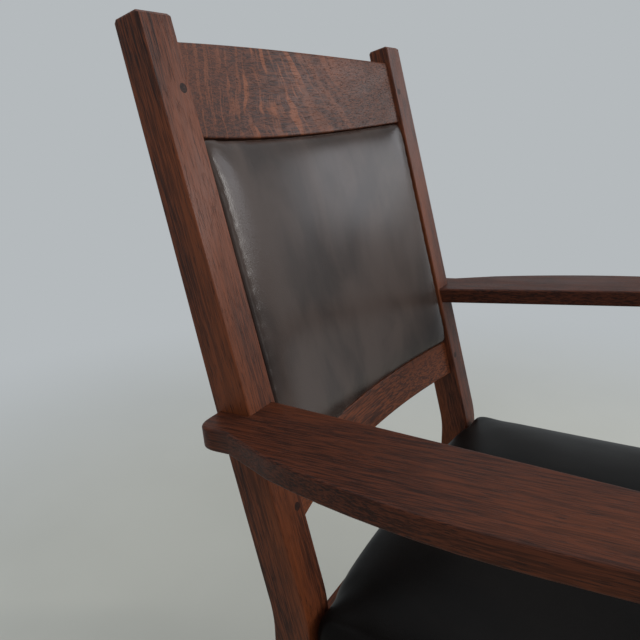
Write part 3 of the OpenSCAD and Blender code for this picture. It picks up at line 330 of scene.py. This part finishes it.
def leather(name, dark, light, roughness, gloss, origin, along, face):
    """Smooth, waxed leather: a fine pebble, soft hollows, faint pull marks and a mottled stain."""
    s = Shader(name, Specular_IOR_Level=gloss)
    point = s.place(origin, along, face)
    pebble = s.node("TexVoronoi", {"Vector": point, "Scale": PEBBLES}, feature="SMOOTH_F1").outputs["Distance"]
    fine = s.noise(point, (1700, 1700, 1700), 2, 0.6)
    mottle = s.noise(point, MOTTLE, 4, 0.5, 0.5)
    pulls = s.noise(point, PULLS, 3, 0.5)
    stain = s.math("ADD", s.math("MULTIPLY", mottle, MOTTLE_SHARE), s.math("MULTIPLY", pulls, PULLS_SHARE))
    colour = s.mix(s.ramp(stain, 0.36, 0.64), rgb(*dark), rgb(*light))
    rough = s.ramp(s.noise(point, (12, 12, 9), 2, 0.5), 0.3, 0.7, roughness - 0.02, roughness + 0.04)
    grain = s.math("SUBTRACT", s.math("MULTIPLY", fine, 0.3), pebble)
    swell = s.bump(s.noise(point, SWELLS, 0), SWELL_RELIEF, 0.12)
    return s.finish(colour, rough, s.bump(grain, PEBBLE_RELIEF, 0.2, swell))


def metal(name, colour, worn, roughness):
    """Brushed or drawn metal: fine lines along it and a cloudy polish."""
    s = Shader(name, Metallic=1.0)
    point = s.place()
    lines = s.noise(point, (2200, 2200, 40), 3, 0.7)
    cloud = s.noise(point, (60, 60, 60), 4, 0.6)
    tone = s.mix(s.ramp(cloud, 0.35, 0.7), rgb(*colour), rgb(*worn))
    polish = s.math("ADD", s.math("MULTIPLY", lines, 0.6), s.math("MULTIPLY", cloud, 0.4))
    rough = s.ramp(polish, 0.3, 0.7, roughness - 0.06, roughness + 0.12)
    return s.finish(tone, rough, s.bump(lines, METAL_RELIEF, 0.3))


def threaded(name, colour, pitch, node):
    """Bright steel rod with a screw thread round the vertical axis of a node, its roots darkened by painted
    shade.
    """
    s = Shader(name, Metallic=1.0)
    x, y, z = s.parts(s.place(middle(node)))
    turn = s.math("DIVIDE", s.math("ARCTAN2", x, y), math.tau)
    phase = s.math("FRACT", s.math("ADD", s.math("DIVIDE", z, pitch), turn))
    crest = s.math("ABSOLUTE", s.math("SUBTRACT", phase, 0.5))
    # Painted shade: the roots of the thread, low in the bump, are darkened to 55 per cent of the steel's colour.
    tone = s.mix(s.ramp(crest, 0.05, 0.4), rgb(*(c * 0.55 for c in colour)), rgb(*colour))
    return s.finish(tone, 0.32, s.bump(crest, pitch * 0.8, 0.9))


def coated(name, colour, dust, roughness, grain=900):
    """Powder coat, moulded plastic or rubber: a fine even texture under a little dust."""
    s = Shader(name)
    point = s.place()
    texture = s.noise(point, (grain, grain, grain), 3, 0.6)
    cloud = s.noise(point, (35, 35, 35), 4, 0.6)
    tone = s.mix(s.ramp(cloud, 0.4, 0.8, 0.0, 0.4), rgb(*colour), rgb(*dust))
    rough = s.ramp(cloud, 0.3, 0.7, roughness - 0.05, roughness + 0.07)
    return s.finish(tone, rough, s.bump(texture, COAT_RELIEF, 0.6))


# ---------------------------------------------------------------- stage and lights

def make_stage():
    """A round floor under the chair that fades into the colour of the wall."""
    s = Shader("floor", Specular_IOR_Level=0.15)
    point = s.place()
    cloud = s.noise(point, (1.6, 1.6, 1.6), 4)
    s.finish(s.mix(s.ramp(cloud, 0.3, 0.7), rgb(*FLOOR), rgb(*(c - FLOOR_CLOUD for c in FLOOR))), 0.8)
    distance = s.node("VectorMath", {0: point}, operation="LENGTH").outputs["Value"]
    far = s.ramp(distance, FADE_FROM, FADE_TO)
    glow = s.node("Emission", {"Color": rgb(*WALL)}).outputs[0]
    faded = s.node("MixShader", {0: far, 1: s.bsdf.outputs[0], 2: glow}).outputs[0]
    s.feed(s.tree.nodes["Material Output"].inputs["Surface"], faded)
    bm = bmesh.new()
    bmesh.ops.create_circle(bm, cap_ends=True, segments=96, radius=FLOOR_R)
    data = bpy.data.meshes.new("floor")
    bm.to_mesh(data)
    bm.free()
    data.materials.append(s.material)
    link("floor", data)


def make_world():
    """The colour of the wall for camera, mirror and glass, and a pale sky for all other light."""
    world = bpy.data.worlds.new("world")
    bpy.context.scene.world = world
    world.use_nodes = True
    tree = world.node_tree
    tree.nodes.clear()

    def background(colour, strength):
        made = tree.nodes.new("ShaderNodeBackground")
        made.inputs["Color"].default_value = rgb(*colour)
        made.inputs["Strength"].default_value = strength
        return made.outputs[0]

    rays = tree.nodes.new("ShaderNodeLightPath").outputs
    seen = rays["Is Camera Ray"]
    for kind in ("Is Glossy Ray", "Is Transmission Ray"):
        either = tree.nodes.new("ShaderNodeMath")
        either.operation = "MAXIMUM"
        tree.links.new(seen, either.inputs[0])
        tree.links.new(rays[kind], either.inputs[1])
        seen = either.outputs[0]
    mixed = tree.nodes.new("ShaderNodeMixShader")
    tree.links.new(seen, mixed.inputs[0])
    tree.links.new(background(SKY, SKY_STRENGTH), mixed.inputs[1])
    tree.links.new(background(WALL, 1.0), mixed.inputs[2])
    tree.links.new(mixed.outputs[0], tree.nodes.new("ShaderNodeOutputWorld").inputs["Surface"])


def softbox(name, at, aim, size, watts, colour):
    """A rectangular lamp that faces aim."""
    data = bpy.data.lights.new(name, "AREA")
    data.shape = "RECTANGLE"
    data.size, data.size_y = size
    data.energy = watts
    data.color = rgb(*colour)[:3]
    lamp = link(name, data)
    lamp.location = at
    lamp.rotation_euler = (Vector(aim) - Vector(at)).to_track_quat("-Z", "Y").to_euler()


# ---------------------------------------------------------------- meshes

def numbers(items, field, width=1, kind=np.float32):
    """One field of all items, as an array of rows."""
    out = np.empty(len(items) * width, kind)
    items.foreach_get(field, out)
    return out.reshape(-1, width) if width > 1 else out


def smooth_corners(data):
    """Shading that runs on over a mesh's corners, but not over edges sharper than SMOOTH_BELOW."""
    keys = np.unique(np.round(numbers(data.vertices, "co", 3), 6), axis=0, return_inverse=True)[1].ravel()
    face_of = np.repeat(np.arange(len(data.polygons)), numbers(data.polygons, "loop_total", kind=np.int32))
    key_of = keys[numbers(data.loops, "vertex_index", kind=np.int32)]
    order = np.argsort(key_of, kind="stable")
    _, first, count = np.unique(key_of[order], return_index=True, return_counts=True)
    sizes = np.repeat(count, count)
    own = np.repeat(np.arange(len(order)), sizes)
    step = np.arange(len(own)) - np.repeat(np.cumsum(sizes) - sizes, sizes)
    other = np.repeat(np.repeat(first, count), sizes) + step
    face, neighbour = face_of[order][own], face_of[order][other]
    normals = numbers(data.polygons, "normal", 3)
    areas = numbers(data.polygons, "area")
    near = (normals[face] * normals[neighbour]).sum(1) > math.cos(SMOOTH_BELOW)
    weighted = normals[neighbour] * (areas[neighbour] * near)[:, None]
    total = np.stack([np.bincount(own, weighted[:, i], len(order)) for i in range(3)], 1)
    total /= np.maximum(np.linalg.norm(total, axis=1), 1e-12)[:, None]
    result = np.empty_like(total)
    result[order] = total
    data.polygons.foreach_set("use_smooth", np.ones(len(data.polygons), bool))
    data.normals_split_custom_set(result.tolist())


def evaluated(piece):
    """The mesh of a piece with its modifiers applied."""
    return bpy.data.meshes.new_from_object(piece.evaluated_get(bpy.context.evaluated_depsgraph_get()))


def dress(piece, body, slot, material, *replaced):
    """A piece with its material and body, with the nodes that it stands for hidden. The slot argument is not
    used.
    """
    piece.data.materials.clear()
    piece.data.materials.append(material)
    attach(piece, body)
    if replaced:
        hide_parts(*replaced)
    return piece


def cushion(node, name, outward, voxel, shrink, crown, smoothing, rim=None):
    """The node's form as a stuffed cover: remeshed, drawn in a little, then blown up as cloth.
    Its face turned outward swells by up to crown, and the rest stays by the frame's solid.
    Where rim is given, it says how far each point first sinks against outward."""
    bm = bmesh.new()
    bm.from_mesh(nodes[node].data)
    bmesh.ops.remove_doubles(bm, verts=bm.verts, dist=1e-5)
    data = bpy.data.meshes.new(name)
    bm.to_mesh(data)
    bm.free()
    piece = link(name, data)
    remesh = piece.modifiers.new("remesh", "REMESH")
    remesh.mode = "VOXEL"
    remesh.voxel_size = voxel
    piece.data = evaluated(piece)
    piece.modifiers.clear()
    rest = numbers(piece.data.vertices, "co", 3)
    if rim:
        rest -= np.array(outward) * rim(rest)[:, None]
        piece.data.vertices.foreach_set("co", rest.ravel())
        piece.data.update()
    normals = numbers(piece.data.vertices, "normal", 3)
    free = np.clip((normals @ np.array(outward) + 0.3) / 0.75, 0, 1)
    free *= free * (3 - 2 * free)
    flat = np.clip((normals @ np.array(outward) - 0.85) / 0.1, 0, 1)
    rest -= normals * (shrink * free + CUSHION_EDGE * (1 - free))[:, None]
    piece.data.vertices.foreach_set("co", rest.ravel())
    held = piece.vertex_groups.new(name="held")
    for index, share in enumerate(free):
        held.add([index], 1 - float(share), "REPLACE")
    cloth = piece.modifiers.new("cloth", "CLOTH")
    for setting, value in CLOTH.items():
        setattr(cloth.settings, setting, value)
    cloth.settings.vertex_group_mass = held.name
    cloth.settings.effector_weights.gravity = 0
    cloth.point_cache.frame_start = 1
    cloth.point_cache.frame_end = CLOTH_FRAMES
    for step in range(1, CLOTH_FRAMES + 1):
        bpy.context.scene.frame_set(step)
    moved = numbers(evaluated(piece).vertices, "co", 3) - rest
    piece.modifiers.clear()
    bpy.context.scene.frame_set(1)
    moved *= (crown * free / max(np.linalg.norm(moved, axis=1).max(), 1e-6))[:, None]
    piece.data.vertices.foreach_set("co", (rest + moved).ravel())
    for group, shares, times in (("flat", flat, smoothing), ("free", free, SIDE_SMOOTHING),
            ("all", np.ones_like(free), LAST_SMOOTHING)):
        eased = piece.vertex_groups.new(name=group)
        for index, share in enumerate(shares):
            eased.add([index], float(share), "REPLACE")
        ease = piece.modifiers.new("ease", "SMOOTH")
        ease.factor = 0.5
        ease.iterations = times
        ease.vertex_group = group
    fine = piece.modifiers.new("fine", "SUBSURF")
    fine.levels = fine.render_levels = 1
    piece.data = evaluated(piece)
    piece.modifiers.clear()
    piece.data.polygons.foreach_set("use_smooth", np.ones(len(piece.data.polygons), bool))
    return piece


def bow(x):
    """How far the bowed back lies behind its sides at x."""
    radius = (POST_HALF_GAP ** 2 + BACK_BOW ** 2) / (2 * BACK_BOW)
    return (radius ** 2 - x ** 2) ** 0.5 - (radius ** 2 - POST_HALF_GAP ** 2) ** 0.5


def pad_rim(points):
    """How far a point of the back pad sinks, so that its full face rolls down to a thinner edge."""
    local = np.c_[points, np.ones(len(points))] @ np.array(BACK.inverted()).T[:, :3]
    layer = local[:, 1] - bow(local[:, 0])
    low, high = local.min(0), local.max(0)
    depth = layer.max() - layer
    inward = 1 - np.clip(np.minimum(local - low, high - local) / PAD_ROLL_R, 0.02, 1)
    kept = PAD_ROLL_SHARE * np.sqrt(1 - inward ** 2) + 1 - PAD_ROLL_SHARE
    raised = (PAD_FULLER * (layer - layer.min()) + PAD_PROUD) * depth / depth.max()
    return depth * (1 - kept[:, 0] * kept[:, 2]) - raised


def smoothstep(value, low, high):
    """Zero up to low, one from high, and an even curve between them."""
    t = min(max((value - low) / (high - low), 0), 1)
    return t * t * (3 - 2 * t)


def mesh_piece(name, points, faces):
    """An object of smooth faces over the points."""
    data = bpy.data.meshes.new(name)
    data.from_pydata([tuple(p) for p in points], [], faces)
    data.polygons.foreach_set("use_smooth", [True] * len(data.polygons))
    return link(name, data)


# Leather cover over the rear of the back: sizes in metres
HEM_W = 0.014
HEM_RISE = 0.0008
HEM_EDGE = 0.0012
COVER_ROUND = 0.004
COVER_EDGE_R = 0.0012
COVER_SLACK = 0.0010
COVER_SLACK_IN = 0.05
COVER_GRID = 0.008
RIM_STEPS = (0, 0.0006, 0.0016, 0.004, 0.009, 0.0127, 0.0134, 0.014, 0.016, 0.021, 0.028, 0.036)
STITCH_IN = 0.010
STITCH_PITCH = 0.0062
STITCH_L = 0.0044
STITCH_RINGS = 5
STITCH_SIDES = 6
STITCH_SUNK = 0.7
STITCH_TIP = 0.4
THREAD_R = 0.00045


def cover_box():
    """Sides of the node back_cover in the frame of the back: x, layer behind the posts' fronts, height."""
    points = [BACK.inverted() @ v.co for v in nodes["back_cover"].data.vertices]
    return [(min(c), max(c)) for c in zip(*((p.x, p.y - bow(p.x), p.z) for p in points))]


def ladder(low, high):
    """Grid places from low to high, close together near both ends."""
    inner = [low + s for s in RIM_STEPS]
    count = round((high - low - 2 * RIM_STEPS[-1]) / COVER_GRID)
    step = (high - low - 2 * RIM_STEPS[-1]) / count
    return inner + [inner[-1] + step * k for k in range(1, count)] + [high - s for s in reversed(RIM_STEPS)]


def make_cover():
    """The rear cover of the back: a bowed panel with a turned hem and a little slack inside it."""
    (xa, xb), (na, nb), (za, zb) = cover_box()
    xs, zs = ladder(xa, xb), ladder(za, zb)
    outer, inner = [], []
    for z in zs:
        for x in xs:
            d = min(x - xa, xb - x, z - za, zb - z)
            swell = 0.5 + 0.5 * noise.noise(Vector((x * 9, 0.3, z * 7)))
            n = (nb - COVER_EDGE_R * (1 - smoothstep(d, 0, COVER_ROUND)) ** 2
                - HEM_RISE * smoothstep(d, HEM_W - HEM_EDGE, HEM_W)
                - COVER_SLACK * smoothstep(d, HEM_W, COVER_SLACK_IN) * swell)
            outer.append(BACK @ Vector((x, n + bow(x), z)))
            inner.append(BACK @ Vector((x, na + bow(x), z)))
    wide, high, total = len(xs), len(zs), len(outer)
    faces = []
    for j in range(high - 1):
        for i in range(wide - 1):
            a, b, c, d = j * wide + i, (j + 1) * wide + i, (j + 1) * wide + i + 1, j * wide + i + 1
            faces += [(a, b, c, d), (d + total, c + total, b + total, a + total)]
    rim = (list(range(wide)) + [j * wide + wide - 1 for j in range(1, high)]
        + [(high - 1) * wide + i for i in range(wide - 2, -1, -1)] + [j * wide for j in range(high - 2, 0, -1)])
    faces += [(a, b, b + total, a + total) for a, b in zip(rim, rim[1:] + rim[:1])]
    return mesh_piece("rear_cover", outer + inner, faces)


def make_stitches():
    """Stitches along the hem, each a small bowed stretch of thread on the leather."""
    (xa, xb), (_, nb), (za, zb) = cover_box()
    xa, xb, za, zb = xa + STITCH_IN, xb - STITCH_IN, za + STITCH_IN, zb - STITCH_IN
    rings, sides = STITCH_RINGS, STITCH_SIDES
    points, faces = [], []
    for a, b in (((xa, za), (xb, za)), ((xb, za), (xb, zb)), ((xb, zb), (xa, zb)), ((xa, zb), (xa, za))):
        length = math.dist(a, b)
        beside = Vector((b[1] - a[1], 0, a[0] - b[0])) / length
        for k in range(int(length / STITCH_PITCH)):
            base = len(points)
            for i in range(rings):
                t = i / (rings - 1)
                at = ((k + 0.5) * STITCH_PITCH + (t - 0.5) * STITCH_L) / length
                x, z = a[0] + (b[0] - a[0]) * at, a[1] + (b[1] - a[1]) * at
                arch = math.sin(math.pi * t)
                r = THREAD_R * (STITCH_TIP + (1 - STITCH_TIP) * arch)
                for q in range(sides):
                    angle = math.tau * q / sides
                    out = beside * r * math.cos(angle) + Vector((0, r * math.sin(angle), 0))
                    layer = nb + bow(x) + THREAD_R * (arch - STITCH_SUNK)
                    points.append(BACK @ (Vector((x, layer, z)) + out))
            faces += [(base + i * sides + q, base + i * sides + (q + 1) % sides,
                base + (i + 1) * sides + (q + 1) % sides, base + (i + 1) * sides + q)
                for i in range(rings - 1) for q in range(sides)]
            faces += [[base + q for q in range(sides - 1, -1, -1)],
                [base + (rings - 1) * sides + q for q in range(sides)]]
    return mesh_piece("cover_stitches", points, faces)


# Tension spring: sizes in metres, as in the frame
SPRING_R = 0.0145
SPRING_WIRE_R = 0.0021
SPRING_TURNS = 5.5
SPRING_GAP = 0.0003
SPRING_STEPS = 36
SPRING_SIDES = 12


def make_spring():
    """The frame's compression spring as smooth round wire."""
    sides = SPRING_SIDES
    low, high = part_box("tension_spring")
    centre = middle("tension_rod")
    start = low.z + SPRING_GAP + SPRING_WIRE_R
    travel = high.z - low.z - 2 * SPRING_WIRE_R - 2 * SPRING_GAP
    count = int(SPRING_TURNS * SPRING_STEPS)
    points = []
    for k in range(count + 1):
        a = math.tau * k / SPRING_STEPS
        out = Vector((math.cos(a), math.sin(a), 0))
        at = Vector((centre.x, centre.y, start + travel * k / count)) + SPRING_R * out
        ahead = Vector((-math.sin(a), math.cos(a), travel / (math.tau * SPRING_R * SPRING_TURNS))).normalized()
        across = ahead.cross(out)
        for q in range(sides):
            b = math.tau * q / sides
            points.append(at + SPRING_WIRE_R * (math.cos(b) * out + math.sin(b) * across))
    faces = [(k * sides + q, k * sides + (q + 1) % sides,
        (k + 1) * sides + (q + 1) % sides, (k + 1) * sides + q)
        for k in range(count) for q in range(sides)]
    faces += [list(range(sides - 1, -1, -1)), [count * sides + q for q in range(sides)]]
    return mesh_piece("coil_spring", points, faces)


# ---------------------------------------------------------------- the scene

make_camera()
make_stage()
make_world()
for lamp in LAMPS:
    softbox(*lamp)

materials = {}
for k, side in enumerate(("left", "right")):
    materials["rear_post_" + side] = oak("rear_post_" + side, LEAN, FRONT, 3 + k, warm=0.55)
    materials["arm_" + side] = oak("arm_" + side, ARM_ALONG, UP, 17 + k, dark=ARM_DARK, light=ARM_LIGHT,
        warm=0.2, gloss=0.13)
    materials["front_post_" + side] = oak("front_post_" + side, UP, FORE, 29 + k, scattered_rays, 0.4)
    materials["side_rail_" + side] = oak("side_rail_" + side, FORE, SIDE, 33 + k)
materials["top_rail"] = oak("top_rail", SIDE, FRONT, 6, sweeping_rays, 0.7,
    dark=TOP_RAIL_DARK, light=TOP_RAIL_LIGHT, warm=0.3)
materials["lower_back_rail"] = oak("lower_back_rail", SIDE, FRONT, 51,
    dark=LOW_RAIL_DARK, light=LOW_RAIL_LIGHT, warm=0.6)
materials["front_seat_rail"] = oak("front_seat_rail", SIDE, FORE, 63, scattered_rays, 0.6)
materials["rear_seat_rail"] = oak("rear_seat_rail", SIDE, FORE, 77)
materials["arm_corbels"] = oak("arm_corbels", UP, SIDE, 82)
materials["hub_block"] = oak("hub_block", UP, FORE, 94)
for k in range(1, 5):
    a = math.radians(90 * k - 45)
    materials[f"base_leg_{k}"] = oak(f"base_leg_{k}", Vector((math.cos(a), math.sin(a), -0.15)),
        Vector((-math.sin(a), math.cos(a), 0)), 90 + k, scattered_rays, 0.3)
for k, node in enumerate(("back_board", "back_cleats", "corner_blocks", "seat_board", "plate_battens")):
    materials[node] = oak(node, SIDE, UP, 120 + k, dark=HIDDEN_DARK, light=HIDDEN_LIGHT, roughness=0.6)
materials["joint_pegs"] = peg_wood()

black_steel = coated("black_steel", (24, 24, 26), (46, 46, 46), 0.42)
bright_steel = metal("bright_steel", STEEL, STEEL_WORN, 0.28)
brass = metal("aged_brass", BRASS, BRASS_WORN, 0.34)
black_plastic = coated("black_plastic", (20, 20, 20), (38, 38, 38), 0.48, grain=1400)
black_rubber = coated("black_rubber", (16, 16, 16), (40, 40, 38), 0.7, grain=700)
wheel_rubber = coated("wheel_rubber", (28, 28, 28), (62, 60, 56), 0.6, grain=500)
thread = coated("thread", (38, 28, 22), (60, 48, 38), 0.7, grain=3000)
groups = (
    (black_steel, ("tilt_plate", "tilt_housing", "column_tube")),
    (bright_steel, ("plate_bolts", "tilt_axle", "clevis_pin", "lever_pin", "gas_cylinder", "valve_pin",
        "height_lever", "spring_washer", "piston_rod", "hub_screws")),
    (black_plastic, ("lever_handle", "tension_knob", "guide_bush")),
    (black_rubber, ("stop_bumpers",)),
    (brass, ["caster_sleeves"] + [f"caster_fork_{k}" for k in range(1, 5)]),
    (bright_steel, [f"caster_axle_{k}" for k in range(1, 5)]),
    (wheel_rubber, [f"caster_wheel_{k}" for k in range(1, 5)]))
for material, group in groups:
    materials.update({node: material for node in group})
materials["tension_rod"] = threaded("threaded_steel", STEEL, THREAD_PITCH, "tension_rod")
for node, material in materials.items():
    nodes[node].material_slots[0].material = material
    smooth_corners(nodes[node].data)

back_leather = leather("back_leather", BACK_DARK, BACK_LIGHT, 0.23, 0.17, middle("back_pad"), LEAN, FRONT)
seat_leather = leather("seat_leather", SEAT_DARK, SEAT_LIGHT, 0.38, 0.06, middle("seat_cushion"), FORE, UP)
pad = dress(cushion("back_pad", "pad_leather", FRONT, voxel=0.0045, shrink=0.0008, crown=0.005,
    smoothing=120, rim=pad_rim), "seat", "back_leather", back_leather, "back_pad")
seat = dress(cushion("seat_cushion", "cushion_leather", UP, voxel=0.0055, shrink=0.002, crown=0.007,
    smoothing=180), "seat", "seat_leather", seat_leather, "seat_cushion")
dress(make_cover(), "seat", "back_leather", back_leather, "back_cover")
dress(make_stitches(), "seat", "back_leather", thread)
spring = dress(make_spring(), "carrier", "bright_steel", bright_steel, "tension_spring")
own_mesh(spring)

bpy.context.scene.view_settings.view_transform = "Standard"
